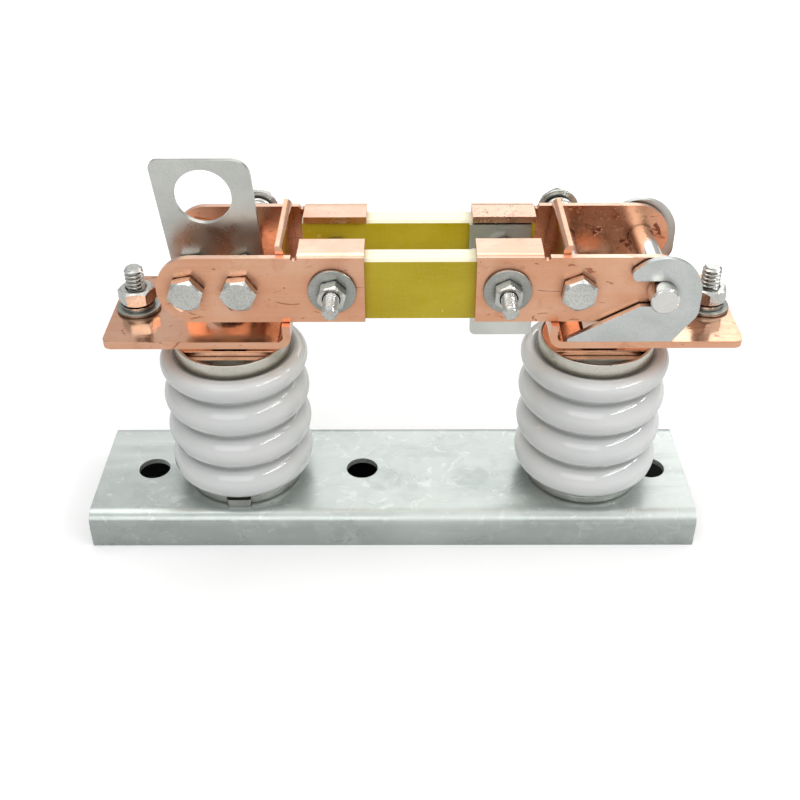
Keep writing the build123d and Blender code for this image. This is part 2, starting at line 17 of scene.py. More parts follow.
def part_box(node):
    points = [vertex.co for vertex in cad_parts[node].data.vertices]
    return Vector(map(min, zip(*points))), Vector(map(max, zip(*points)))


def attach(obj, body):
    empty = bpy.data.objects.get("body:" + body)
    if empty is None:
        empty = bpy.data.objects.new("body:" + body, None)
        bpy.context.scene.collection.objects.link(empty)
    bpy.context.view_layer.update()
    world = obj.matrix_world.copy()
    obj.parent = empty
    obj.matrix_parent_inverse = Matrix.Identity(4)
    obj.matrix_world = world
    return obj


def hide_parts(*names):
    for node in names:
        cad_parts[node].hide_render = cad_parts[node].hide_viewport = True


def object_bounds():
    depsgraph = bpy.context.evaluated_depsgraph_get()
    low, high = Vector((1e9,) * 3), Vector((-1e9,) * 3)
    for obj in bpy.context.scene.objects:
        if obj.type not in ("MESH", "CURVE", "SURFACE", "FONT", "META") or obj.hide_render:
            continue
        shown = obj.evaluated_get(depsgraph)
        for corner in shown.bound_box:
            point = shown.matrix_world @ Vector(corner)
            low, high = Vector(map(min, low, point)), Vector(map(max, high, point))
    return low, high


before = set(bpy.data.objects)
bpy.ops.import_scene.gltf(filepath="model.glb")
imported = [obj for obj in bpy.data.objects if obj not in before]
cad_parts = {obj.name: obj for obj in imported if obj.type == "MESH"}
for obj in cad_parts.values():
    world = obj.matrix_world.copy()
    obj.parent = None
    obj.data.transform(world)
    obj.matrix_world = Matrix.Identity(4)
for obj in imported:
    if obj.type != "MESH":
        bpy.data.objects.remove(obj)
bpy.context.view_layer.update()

mm = 0.001

# %% [markdown]
# ## Short calls for procedural finishes
#
# Every finish on this switch is worked out by shader nodes from the object's own coordinates, so it needs
# no image and moves with its piece. Wiring nodes by hand is long, so a small class keeps the shader of one
# material and offers one call for each kind of pattern: soft clouds, stretched scratches, sharp specks,
# crystal cells, colour ramps and bumps. A node group could do the same, but a class is easier to read. The
# floor and the world have nodes but no such shader, so the calls that they share with the finishes stand in
# a class of their own, and a finish adds those that set its shader.

# %% A finish and its patterns
def rgb(red, green, blue):
    """Linear colour from display values of 0 to 255."""
    def linear(value):
        value /= 255
        return value / 12.92 if value <= 0.04045 else ((value + 0.055) / 1.055) ** 2.4
    return (linear(red), linear(green), linear(blue), 1)


def grey(light):
    return (light, light, light, 1)


class Wiring:
    """Nodes of a material or of the world, with one call for each kind of pattern or sum."""

    def __init__(self, tree, coordinates="Object"):
        self.nodes, self.links = tree.nodes, tree.links
        origin = self.nodes.new("ShaderNodeTexCoord")
        self.place = origin.outputs[coordinates]
        self.normal = origin.outputs["Normal"]

    def feed(self, source, socket):
        if isinstance(source, bpy.types.NodeSocket):
            self.links.new(source, socket)
        else:
            socket.default_value = source

    def stretched(self, stretch, turn=(0, 0, 0)):
        mapping = self.nodes.new("ShaderNodeMapping")
        self.feed(self.place, mapping.inputs["Vector"])
        mapping.inputs["Scale"].default_value = stretch
        mapping.inputs["Rotation"].default_value = [math.radians(angle) for angle in turn]
        return mapping.outputs["Vector"]

    def clouds(self, scale, detail=4, stretch=(1, 1, 1), turn=(0, 0, 0), distortion=0.0):
        noise = self.nodes.new("ShaderNodeTexNoise")
        self.feed(self.stretched(stretch, turn), noise.inputs["Vector"])
        noise.inputs["Scale"].default_value = scale
        noise.inputs["Detail"].default_value = detail
        noise.inputs["Distortion"].default_value = distortion
        return noise.outputs["Fac"]

    def cells(self, scale, output="Distance", stretch=(1, 1, 1)):
        voronoi = self.nodes.new("ShaderNodeTexVoronoi")
        self.feed(self.stretched(stretch), voronoi.inputs["Vector"])
        voronoi.inputs["Scale"].default_value = scale
        return voronoi.outputs[output]

    def between(self, value, low, high, out_low=0.0, out_high=1.0):
        """Stretches a value from low..high to out_low..out_high, and holds it there outside."""
        mapped = self.nodes.new("ShaderNodeMapRange")
        self.feed(value, mapped.inputs["Value"])
        mapped.inputs["From Min"].default_value = low
        mapped.inputs["From Max"].default_value = high
        mapped.inputs["To Min"].default_value = out_low
        mapped.inputs["To Max"].default_value = out_high
        return mapped.outputs["Result"]

    def reckon(self, operation, first, second=0.0):
        node = self.nodes.new("ShaderNodeMath")
        node.operation = operation
        self.feed(first, node.inputs[0])
        self.feed(second, node.inputs[1])
        return node.outputs["Value"]

    def mix(self, factor, first, second, blend="MIX"):
        node = self.nodes.new("ShaderNodeMix")
        node.data_type = "RGBA"
        node.blend_type = blend
        self.feed(factor, node.inputs["Factor"])
        self.feed(first, node.inputs[6])
        self.feed(second, node.inputs[7])
        return node.outputs[2]

    def specks(self, scale, share, size=0.22):
        """Sharp dots in a share of the cells of a Voronoi pattern."""
        near = self.between(self.cells(scale), size, size * 0.6)
        chosen = self.between(self.cells(scale, "Color"), 1 - share, 1 - share + 0.02)
        return self.reckon("MULTIPLY", near, chosen)

    def scratches(self, scale, amount, stretch, turn=(0, 0, 0)):
        lines = self.clouds(scale, 2, stretch, turn, 0.15)
        return self.between(lines, 0.5 + 0.25 * (1 - amount), 0.5 + 0.25 * (1 - amount) + 0.03)

    def facing(self, axis):
        """How much the surface faces one of the object's own axes, from -1 to 1."""
        parts = self.nodes.new("ShaderNodeSeparateXYZ")
        self.feed(self.normal, parts.inputs["Vector"])
        return parts.outputs[axis]

    def along(self, axis):
        """The object's own coordinate along one axis, in metres."""
        parts = self.nodes.new("ShaderNodeSeparateXYZ")
        self.feed(self.place, parts.inputs["Vector"])
        return parts.outputs[axis]

    def away_from(self, point):
        """Distance in metres from a point of the object."""
        node = self.nodes.new("ShaderNodeVectorMath")
        node.operation = "DISTANCE"
        self.feed(self.place, node.inputs[0])
        node.inputs[1].default_value = point
        return node.outputs["Value"]

    def painted_corner_shade(self, reach, strength):
        """Painted shade factor: near 1 in corners and under rims, 0 in the open."""
        occlusion = self.nodes.new("ShaderNodeAmbientOcclusion")
        occlusion.samples = 6
        occlusion.inputs["Distance"].default_value = reach
        return self.between(occlusion.outputs["AO"], 0.25, 0.95, strength, 0.0)

    def background_rays(self, metal_share=0.3):
        """1 for camera and transmission rays, a share of that for glossy ones, 0 for the rest."""
        path = self.nodes.new("ShaderNodeLightPath")
        seen = self.reckon("MULTIPLY", path.outputs["Is Glossy Ray"], metal_share)
        for ray in ("Is Camera Ray", "Is Transmission Ray"):
            seen = self.reckon("ADD", seen, path.outputs[ray])
        return self.reckon("MINIMUM", seen, 1.0)


class Finish(Wiring):
    """A material that stands on one principled shader."""

    def __init__(self, name, roughness, metallic=0.0):
        self.material = bpy.data.materials.new(name)
        self.material.use_nodes = True
        super().__init__(self.material.node_tree)
        self.shader = self.nodes["Principled BSDF"]
        self.shader.inputs["Metallic"].default_value = metallic
        self.shader.inputs["Roughness"].default_value = roughness

    def color(self, source):
        self.feed(source, self.shader.inputs["Base Color"])

    def roughness(self, source):
        self.feed(source, self.shader.inputs["Roughness"])

    def bump(self, height, depth, strength=1.0):
        node = self.nodes.new("ShaderNodeBump")
        node.inputs["Strength"].default_value = strength
        node.inputs["Distance"].default_value = depth
        self.feed(height, node.inputs["Height"])
        normal = self.shader.inputs["Normal"]
        if normal.is_linked:
            self.feed(normal.links[0].from_socket, node.inputs["Normal"])
        self.feed(node.outputs["Normal"], normal)


calls = [name for kind in (Wiring, Finish) for name in vars(kind) if not name.startswith("_")]
print("calls of a finish:", ", ".join(calls))

# %% [markdown]
# ## Galvanised zinc
#
# The channel was dipped in molten zinc. As the bath froze it left large soft crystals, milky patches and
# runs, and handling left fine scratches and dark specks. Crystals come from Voronoi cells pushed out of
# shape by clouds, milk from a slow cloud, and scratches from noise that is stretched almost into lines. Two
# faint round stains on top show where something once stood. Zinc is a metal, but this grey skin scatters
# light, so the metallic value stays under one.

# %% The zinc of the base
zinc = Finish("galvanised_zinc", 0.36, 0.6)
crystals = zinc.mix(0.5, zinc.cells(70, "Color"), zinc.cells(190, "Color"))
crystal_tone = zinc.mix(zinc.between(crystals, 0.2, 0.8), rgb(190, 198, 194), rgb(203, 210, 206))
milk = zinc.between(zinc.clouds(18, 6, (0.6, 1, 1), distortion=0.8), 0.44, 0.66)
tone = zinc.mix(milk, crystal_tone, rgb(219, 225, 221))
drips = zinc.between(zinc.clouds(70, 5, (0.3, 1, 1.6), distortion=0.5), 0.56, 0.7)
tone = zinc.mix(zinc.reckon("MULTIPLY", drips, 0.4), tone, rgb(172, 182, 177))
splashes = zinc.between(zinc.clouds(95, 6, distortion=1.5), 0.6, 0.64)
tone = zinc.mix(zinc.reckon("MULTIPLY", splashes, 0.45), tone, rgb(232, 236, 233))
for stain_x, stain_y in ((-0.010, -0.010), (0.040, -0.008)):
    spread = zinc.between(zinc.away_from((stain_x, stain_y, 0.0035)), 0.0115, 0.0095)
    mottled = zinc.reckon("MULTIPLY", spread, zinc.between(zinc.clouds(180, 3), 0.35, 0.6, 0.1, 0.4))
    tone = zinc.mix(mottled, tone, rgb(160, 170, 166))
lines = zinc.scratches(26, 0.35, (1, 26, 1), (0, 0, 17))
tone = zinc.mix(zinc.reckon("MULTIPLY", lines, 0.22), tone, rgb(238, 241, 239))
tone = zinc.mix(zinc.specks(420, 0.035), tone, rgb(104, 110, 106))
# Painted shade: faces that look to the front are darkened, as they get less light.
tone = zinc.mix(zinc.between(zinc.facing("Y"), -0.6, -0.95, 0, 0.3), tone, rgb(150, 160, 154))
# Painted shade: darker in corners and under rims, where less light reaches.
tone = zinc.mix(zinc.painted_corner_shade(0.010, 0.3), tone, rgb(128, 136, 131))
zinc.color(tone)
zinc.roughness(zinc.between(milk, 0, 1, 0.27, 0.44))
zinc.bump(zinc.clouds(300, 3), 0.06 * mm, 0.6)
zinc.bump(splashes, 0.04 * mm, 0.5)
print("zinc uses", len(zinc.nodes), "nodes")

# %% [markdown]
# ## Copper, polished and handled
#
# Terminals and blades are electrolytic copper. Salmon in the open, it gets painted shade in corners and
# under washers and a painted pale sheen on faces that look up, and it shows rolling lines along its length,
# small brown specks and cloudy fingerprints. The same recipe serves all of them: the terminals were
# polished, so their roughness is low and the hardware mirrors in them, while the blades are satin. A
# function makes three finishes from their few different values.
#
# The rear blade has ragged dents beside its pin hole, where a centre punch slipped. Each is a distance from
# a known point, broken up by clouds, so the dents need no extra mesh.

# %% Copper for the terminals and the blades
def copper_finish(name, smooth, dull, spot_share, painted_top_sheen):
    copper = Finish(name, smooth, 1.0)
    patches = copper.between(copper.clouds(34, 4, distortion=0.4), 0.36, 0.66)
    tone = copper.mix(patches, rgb(228, 167, 131), rgb(237, 184, 152))
    tarnish = copper.between(copper.clouds(80, 6, distortion=1.4), 0.58, 0.74, 0, 0.45)
    tone = copper.mix(tarnish, tone, rgb(202, 124, 88))
    rolling = copper.clouds(240, 2, (0.04, 1, 1))
    tone = copper.mix(copper.between(rolling, 0.4, 0.7, 0, 0.2), tone, rgb(246, 208, 186))
    rubs = copper.between(copper.clouds(150, 5, (0.35, 1, 1), (0, 40, 0), 2.2), 0.655, 0.675, 0, 0.7)
    tone = copper.mix(rubs, tone, rgb(158, 88, 62))
    tone = copper.mix(copper.specks(300, spot_share, 0.17), tone, rgb(112, 60, 42))
    # Painted highlight: faces that look up turn pale pink, as if lit from above; the last argument sets how
    # much.
    tone = copper.mix(copper.between(copper.facing("Z"), 0.6, 1.0, 0, painted_top_sheen), tone, rgb(252, 226, 208))
    # Painted shade: dark red-brown in corners and under washers.
    tone = copper.mix(copper.painted_corner_shade(0.006, 0.6), tone, rgb(140, 66, 42))
    copper.color(tone)
    prints = copper.between(copper.clouds(60, 4, distortion=0.9), 0.4, 0.65)
    copper.roughness(copper.between(prints, 0, 1, smooth, dull))
    lines = copper.scratches(60, 0.4, (1, 14, 14), (0, 12, 0))
    copper.bump(rolling, 0.03 * mm, 0.4)
    copper.bump(lines, 0.03 * mm, 0.5)
    return copper


def punched(copper, marks):
    """Adds the burred dents that a centre punch left beside the pin hole."""
    nearest = 1.0
    for place, size in marks:
        reach = copper.reckon("DIVIDE", copper.away_from(place), size)
        nearest = copper.reckon("MINIMUM", nearest, reach)
    ragged = copper.reckon("ADD", nearest, copper.between(copper.clouds(700, 2), 0.3, 0.7, -0.35, 0.35))
    dent = copper.between(ragged, 0.75, 0.5)
    clean_tone = copper.shader.inputs["Base Color"].links[0].from_socket
    copper.color(copper.mix(copper.reckon("MULTIPLY", dent, 0.85), clean_tone, rgb(112, 46, 30)))
    copper.bump(dent, 0.4 * mm, 0.8)


terminal_copper = copper_finish("terminal_copper", 0.1, 0.2, 0.05, 0.1)
blade_copper = copper_finish("blade_copper", 0.25, 0.38, 0.11, 0.45)
punched_copper = copper_finish("punched_copper", 0.2, 0.32, 0.11, 0.45)
inner_face_y = 0.027
punch_marks = [
    ((x, inner_face_y, z), size * mm)
    for x, z, size in (
        (0.1369, 0.1450, 2.6),
        (0.1383, 0.1425, 2.0),
        (0.1355, 0.1472, 1.8),
        (0.1213, 0.1356, 2.4),
        (0.1187, 0.1378, 2.2),
        (0.1243, 0.1330, 2.4),
        (0.1056, 0.1444, 2.2),
        (0.1038, 0.1428, 1.8),
    )
]
punched(punched_copper, punch_marks)
print("three coppers with", len(blade_copper.nodes), "nodes each")

# %% [markdown]
# ## Glaze, epoxy, steel and cast metal
#
# Porcelain is a white body under clear glass, so its finish has a glossy coat over a slightly cloudy base,
# with painted shade that greys the seams between the sheds. The yellow bars are glass cloth in epoxy: a
# fine weave under a smooth skin, with pale cut edges on top. The steel pieces differ in how they were
# plated
# and handled: the bolts are finely speckled, the washers are darker, the bracket is satin and the hinge pin
# is almost a mirror. One function makes all eight from two tones, two roughnesses, a mottle and a grain.

# %% Porcelain glaze
porcelain = Finish("white_glaze", 0.09)
body = porcelain.between(porcelain.clouds(30, 4), 0.35, 0.7)
tone = porcelain.mix(body, rgb(224, 226, 225), rgb(233, 234, 232))
tone = porcelain.mix(porcelain.specks(260, 0.03, 0.14), tone, rgb(158, 154, 146))
# Painted shade: grey in the seams between the sheds and under the cap.
tone = porcelain.mix(porcelain.painted_corner_shade(0.014, 0.75), tone, rgb(118, 121, 120))
porcelain.color(tone)
porcelain.roughness(porcelain.between(porcelain.clouds(55, 3), 0.35, 0.7, 0.05, 0.13))
porcelain.shader.inputs["Coat Weight"].default_value = 0.6
porcelain.shader.inputs["Coat Roughness"].default_value = 0.03
porcelain.bump(porcelain.clouds(45, 3), 0.25 * mm, 0.35)
print("glaze made")

# %% Glass-cloth epoxy
epoxy = Finish("yellow_epoxy_glass", 0.34)
weave_across = epoxy.clouds(1500, 1, (1, 1, 0.12))
weave_up = epoxy.clouds(1500, 1, (0.12, 1, 1))
weave = epoxy.reckon("ADD", weave_across, weave_up)
resin = epoxy.between(epoxy.clouds(40, 5, (0.5, 1, 1)), 0.36, 0.66)
tone = epoxy.mix(resin, rgb(190, 166, 22), rgb(204, 184, 46))
tone = epoxy.mix(epoxy.between(weave, 0.85, 1.2, 0, 0.14), tone, rgb(222, 206, 106))
flecks = epoxy.specks(420, 0.1, 0.2)
tone = epoxy.mix(epoxy.reckon("MULTIPLY", flecks, 0.6), tone, rgb(232, 222, 160))
rubs = epoxy.between(epoxy.clouds(420, 4, (1, 1, 0.5), (0, 35, 0), 1.2), 0.64, 0.68)
rubbed = epoxy.between(epoxy.clouds(28, 2), 0.55, 0.62)
tone = epoxy.mix(epoxy.reckon("MULTIPLY", rubs, rubbed), tone, rgb(226, 214, 130))
tone = epoxy.mix(epoxy.between(epoxy.facing("Z"), 0.3, 0.7), tone, rgb(250, 246, 216))
# Painted shade: darker ochre in corners and under the hardware.
tone = epoxy.mix(epoxy.painted_corner_shade(0.005, 0.4), tone, rgb(122, 104, 30))
epoxy.color(tone)
epoxy.shader.inputs["Specular IOR Level"].default_value = 0.3
epoxy.roughness(epoxy.between(epoxy.clouds(60, 3), 0.35, 0.65, 0.26, 0.42))
epoxy.bump(weave, 0.02 * mm, 0.3)
print("epoxy made")


# %% Steel and cast metal
def steel_finish(name, dark, light, smooth, dull, mottle, grain):
    """A plated steel; the grain is the depth of its fine bump in millimetres."""
    steel = Finish(name, smooth, 1.0)
    patches = steel.between(steel.clouds(40, 5, distortion=0.5), 0.36, 0.66)
    tone = steel.mix(patches, dark, light)
    fine = steel.clouds(1400, 3)
    tone = steel.mix(steel.between(fine, 0.45, 0.75, 0, mottle), tone, rgb(118, 116, 110))
    tone = steel.mix(steel.specks(420, 0.05, 0.17), tone, rgb(88, 84, 78))
    # Painted shade: near black in tight corners and under heads and washers.
    tone = steel.mix(steel.painted_corner_shade(0.003, 0.75), tone, rgb(58, 56, 52))
    steel.color(tone)
    steel.roughness(steel.between(steel.clouds(75, 4, distortion=0.7), 0.35, 0.65, smooth, dull))
    steel.bump(fine, grain * mm, 0.5)
    steel.bump(steel.scratches(50, 0.35, (14, 14, 1), (0, 25, 0)), 0.03 * mm, 0.5)
    return steel


hardware = steel_finish("bolt_steel", rgb(202, 202, 197), rgb(226, 226, 221), 0.18, 0.32, 0.5, 0.03)
washer_steel = steel_finish("washer_steel", rgb(158, 160, 154), rgb(184, 185, 179), 0.26, 0.4, 0.4, 0.03)
plate_steel = steel_finish("plated_sheet", rgb(196, 198, 192), rgb(212, 214, 208), 0.26, 0.36, 0.1, 0.01)
pin_steel = steel_finish("bright_pin", rgb(222, 221, 216), rgb(234, 233, 229), 0.08, 0.16, 0.1, 0.01)
hook_steel = steel_finish("satin_bracket", rgb(200, 204, 201), rgb(216, 219, 216), 0.26, 0.38, 0.18, 0.02)
inner_steel = steel_finish("pale_plate", rgb(214, 217, 210), rgb(228, 230, 224), 0.36, 0.48, 0.15, 0.02)
cap_metal = steel_finish("cap_metal", rgb(210, 207, 194), rgb(228, 225, 214), 0.26, 0.4, 0.2, 0.02)
ring_metal = steel_finish("ring_metal", rgb(160, 161, 157), rgb(190, 191, 186), 0.3, 0.45, 0.35, 0.03)
print("eight steel finishes, each with", len(hardware.nodes), "nodes")

# %% [markdown]
# ## Soft edges on the CAD pieces
#
# Real sheet metal never has a perfectly sharp edge, and the thin bright line along an edge is what makes a
# render look solid. The CAD meshes arrive with doubled points along their edges, so a Weld modifier joins
# those first. A Bevel modifier then rounds only edges that turn by more than thirty degrees, and a
# Weighted Normal modifier keeps the big faces flat in the light. The meshes themselves aren't touched.

# %% Dress the CAD nodes
def dress(node, finish, edge=0.3 * mm):
    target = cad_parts[node]
    weld = target.modifiers.new("join_points", "WELD")
    weld.merge_threshold = 0.002 * mm
    if edge:
        bevel = target.modifiers.new("soft_edges", "BEVEL")
        bevel.width = edge
        bevel.segments = 2
        bevel.limit_method = "ANGLE"
        bevel.angle_limit = math.radians(30)
        bevel.use_clamp_overlap = True
    normals = target.modifiers.new("flat_faces", "WEIGHTED_NORMAL")
    normals.keep_sharp = True
    if not target.material_slots:
        target.data.materials.append(finish.material)
    for material_slot in target.material_slots:
        material_slot.material = finish.material


dress("base_channel", zinc)
for side in ("left", "right"):
    dress(f"{side}_terminal", terminal_copper, 0.5 * mm)
    dress(f"{side}_base_ring", ring_metal)
    dress(f"{side}_support_plate", plate_steel)
    dress(f"{side}_backing_plate", terminal_copper)
    dress(f"{side}_base_bolt", hardware)
for side in ("front", "rear"):
    dress(f"{side}_contact_copper", blade_copper, 0.4 * mm)
    dress(f"{side}_hinge_copper", punched_copper if side == "rear" else blade_copper, 0.4 * mm)
    dress(f"{side}_insulating_bar", epoxy, edge=0)
    dress(f"{side}_steel_plate", inner_steel)
dress("pull_plate", plate_steel)
dress("hook_bracket", hook_steel, 0.4 * mm)
dress("hinge_pin", pin_steel)
print("dressed", sum(bool(node.modifiers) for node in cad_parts.values()), "CAD nodes")

# %% [markdown]
# ## Making new pieces
#
# Threads, nuts, springs and insulators are built here from their own geometry. Each helper returns points
# and faces in millimetres round its own upright axis; a seat matrix then stands them at a point of the
# frame, along the front, the back or straight up. One last helper joins such parts into a mesh object,
# keeps edges of more than a set angle crisp, hangs it on the body that carries it and hides the CAD node
# that it stands for.

# %% Seats, and the helper that makes a piece
UP = (0, 0, 1)
FRONT = (0, -1, 0)
BACK = (0, 1, 0)


def seat(point, direction):
    """Matrix that stands a part along a direction, with its own X kept along the base."""
    upright = Vector(direction)
    along = Vector((1, 0, 0))
    matrix = Matrix((along, upright.cross(along), upright)).transposed().to_4x4()
    matrix.translation = point
    return matrix @ Matrix.Scale(mm, 4)


def make_piece(name, stands_for, body, finish, parts, crisp=32):
    """Joins (points, faces, seat) parts into one object that stands for a CAD node."""
    points, faces = [], []
    for part_points, part_faces, matrix in parts:
        start = len(points)
        points += [matrix @ Vector(point) for point in part_points]
        faces += [[start + index for index in face] for face in part_faces]
    mesh = bpy.data.meshes.new(name)
    mesh.from_pydata(points, [], faces)
    mesh.validate()
    mesh.polygons.foreach_set("use_smooth", [True] * len(mesh.polygons))
    mesh.set_sharp_from_angle(angle=math.radians(crisp))
    mesh.materials.append(finish.material)
    piece = bpy.data.objects.new(name, mesh)
    bpy.context.scene.collection.objects.link(piece)
    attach(piece, body)
    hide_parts(stands_for)
    print(name, len(mesh.polygons), "faces")


# %% [markdown]
# ## Turned shapes
#
# Insulators, caps and washers are round, so each is a profile turned about its axis, as on a lathe or a
# potter's wheel. Blender's Screw modifier could do this, but turning the profile in code lets a point on
# the axis stay a single point, which avoids a pinched seam in the glaze.

# %% The lathe
def turned(profile, segments=96, closed=True):
    """Points and faces of a profile of (radius, height) pairs turned about the upright axis."""
    points, rings = [], []
    for radius, height in profile:
        if radius < 1e-6:
            rings.append([len(points)] * segments)
            points.append((0, 0, height))
        else:
            rings.append([len(points) + step for step in range(segments)])
            for step in range(segments):
                angle = 2 * math.pi * step / segments
                points.append((radius * math.cos(angle), radius * math.sin(angle), height))
    faces = []
    pairs = list(zip(rings, rings[1:] + rings[:1] if closed else rings[1:]))
    for lower, upper in pairs:
        for step in range(segments):
            after = (step + 1) % segments
            corners = [lower[step], lower[after], upper[after], upper[step]]
            faces.append(list(dict.fromkeys(corners)))
    return points, [face for face in faces if len(face) > 2]


def arc(across, up, radius, start, end, steps=3):
    """Points of an arc about (across, up) between two angles in degrees."""
    angles = [math.radians(start + (end - start) * step / steps) for step in range(steps + 1)]
    return [(across + radius * math.cos(angle), up + radius * math.sin(angle)) for angle in angles]


def washer_profile(bore, radius, thickness, edge=0.35):
    """Closed profile of a flat washer, its outer edges rounded by stamping."""
    profile = [(bore, 0), (radius - edge, 0)]
    profile += arc(radius - edge, edge, edge, -90, 0)
    profile += arc(radius - edge, thickness - edge, edge, 0, 90)
    return profile + [(bore + edge, thickness), (bore, thickness - edge)]


print("a washer's profile has", len(washer_profile(5, 10, 2)), "points")

# %% [markdown]
# ## Porcelain insulators
#
# Each insulator has four round sheds that keep rain from bridging it. Their outline is four equal arcs,
# one above the other, with softened waists, because glaze never runs into a sharp corner. The top one
# rolls over into the seat of the metal cap. The arcs here are the same ones as in the CAD model; only the
# number of steps is finer, since highlights on gloss show every facet.

# %% Outline of a shed
shed_radius, waist_radius, half_pitch = 40, 31.5, 10.65
shed_bulge = shed_radius - waist_radius
arc_radius = (shed_bulge**2 + half_pitch**2) / (2 * shed_bulge)
top_shed_z = 84
shed_heights = [top_shed_z - 2 * half_pitch * count for count in (3, 2, 1, 0)]
shoulder_radius, shoulder_end = 4.93, 134.8
shoulder_centre = shed_radius - shoulder_radius
cap_seat_z = 87.5


def outline_radius(height):
    """Radius of the four sheds' outline before its waists are softened."""
    radius = waist_radius
    for shed in shed_heights:
        rise = abs(height - shed)
        if rise < arc_radius:
            radius = max(radius, shed_radius - arc_radius + math.sqrt(arc_radius**2 - rise**2))
    return radius


print("sheds at", [round(height, 2) for height in shed_heights], "mm")

# %% Insulators
outline_steps = 200
softened_zone = 3


def insulator_profile():
    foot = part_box("left_insulator")[0].z / mm
    climb = (top_shed_z - foot) / outline_steps
    heights = [foot + climb * step for step in range(outline_steps + 1)]
    radii = [outline_radius(height) for height in heights]
    profile = [(0, foot)]
    for index, (radius, height) in enumerate(zip(radii, heights)):
        near = radii[max(0, index - 2) : index + 3]
        softened = sum(near) / len(near)
        profile.append((softened if radius < waist_radius + softened_zone else radius, height))
    profile += arc(shoulder_centre, top_shed_z, shoulder_radius, 0, shoulder_end, 12)[1:]
    return profile + [(0, cap_seat_z)]


for side in ("left", "right"):
    low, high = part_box(f"{side}_insulator")
    stand = seat(((low.x + high.x) / 2, 0, 0), UP)
    body_of_revolution = turned(insulator_profile(), 160, closed=False)
    parts = [(*body_of_revolution, stand)]
    make_piece(f"{side}_porcelain", f"{side}_insulator", "frame", porcelain, parts, 60)

# %% [markdown]
# ## Caps
#
# A thin metal cup sits on each insulator, and the copper bar lies on a steel plate in its recess. The lip
# is only a millimetre and a half wide and catches the light as a bright ring, so its rounding gets
# several steps of its own.

# %% Caps
cap_lip, lip_round, cap_floor, cap_hole = 1.6, 0.5, 2, 6.05
for side in ("left", "right"):
    low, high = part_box(f"{side}_cap")
    outer = (high.x - low.x) / 2 / mm
    height = (high.z - low.z) / mm
    recess = outer - cap_lip
    profile = [(cap_hole, 0), (outer - 0.3, 0), (outer, 0.3)]
    profile += arc(outer - lip_round, height - lip_round, lip_round, 0, 90)
    profile += [(recess + 0.3, height), (recess, height - 0.3)]
    profile += [(recess, cap_floor + 0.6), (recess - 0.6, cap_floor), (cap_hole, cap_floor)]
    stand = seat(((low.x + high.x) / 2, 0, low.z), UP)
    parts = [(*turned(profile, 128), stand)]
    make_piece(f"{side}_turned_cap", f"{side}_cap", "frame", cap_metal, parts)

# %% [markdown]
# ## Hexagons with real crowns
#
# A hex nut is a six-sided bar whose corners were cut back by a cone, which leaves a curved line on every
# flat. Cutting with a boolean would work, but the curve can be worked out: at each angle, the flat ends
# where the cone meets it. So each side needs only rings that follow that line, with twelve steps a flat.

# %% Hex heads and nuts
hex_steps = 72
crown_share, crown_slope = 0.9, math.tan(math.radians(34))
bore_chamfer = 0.6


def circle(radius, level, turn):
    """Points of one ring of a hexagon's or a nut's surface."""
    angles = [math.radians(360 / hex_steps * step + turn) for step in range(hex_steps)]
    return [(radius * math.cos(angle), radius * math.sin(angle), level) for angle in angles]


def hexagon(across, height, bore=0.0, turn=0.0):
    """Hex blank with a cone cut on both faces and, for a nut, a chamfered bore."""
    crown = crown_share * across / 2
    lower, upper = [], []
    for step, (cosine, sine, _) in enumerate(circle(1, 0, turn)):
        angle = math.radians(360 / hex_steps * step)
        radius = across / 2 / math.cos(angle % math.radians(60) - math.radians(30))
        cut = (radius - crown) * crown_slope
        lower.append((radius * cosine, radius * sine, cut))
        upper.append((radius * cosine, radius * sine, height - cut))
    rings = [circle(crown, 0, turn), lower, upper, circle(crown, height, turn)]
    if bore:
        rings += [circle(bore + bore_chamfer, height, turn), circle(bore, height - bore_chamfer, turn)]
        rings += [circle(bore, bore_chamfer, turn), circle(bore + bore_chamfer, 0, turn)]
    faces = []
    for ring in range(len(rings) if bore else len(rings) - 1):
        first, second = ring * hex_steps, (ring + 1) % len(rings) * hex_steps
        for step in range(hex_steps):
            after = (step + 1) % hex_steps
            faces.append([first + step, first + after, second + after, second + step])
    if not bore:
        faces.append([3 * hex_steps + step for step in range(hex_steps)])
        faces.append([hex_steps - 1 - step for step in range(hex_steps)])
    return [point for ring in rings for point in ring], faces


print("an M10 nut has", len(hexagon(16, 8.4, 5)[1]), "faces")

# %% [markdown]
# ## Threads
#
# A screw thread is a ridge that climbs once round for every pitch. On a fine grid wrapped round the shank,
# the radius of each point follows from its height and angle together, so the ridge comes out as one
# continuous spiral. The crest keeps the CAD radius and the root is cut below it, and the last turns fade
# under the cone of the rounded point. The photo shows studs with coarse, easily counted threads, so their
# pitches are coarser than the standard ones of M10 and M8; only the hidden bolt ends keep 1.5 mm.

# %% Threaded rods
stud_pitch, bolt_pitch, fuse_pitch = 2.2, 1.5, 1.8
root_share = 0.5
rows_a_pitch, columns = 8, 40
crest_width, flank_slope = 1.35, 3.2
point_start, point_slope = 0.35, 1.1


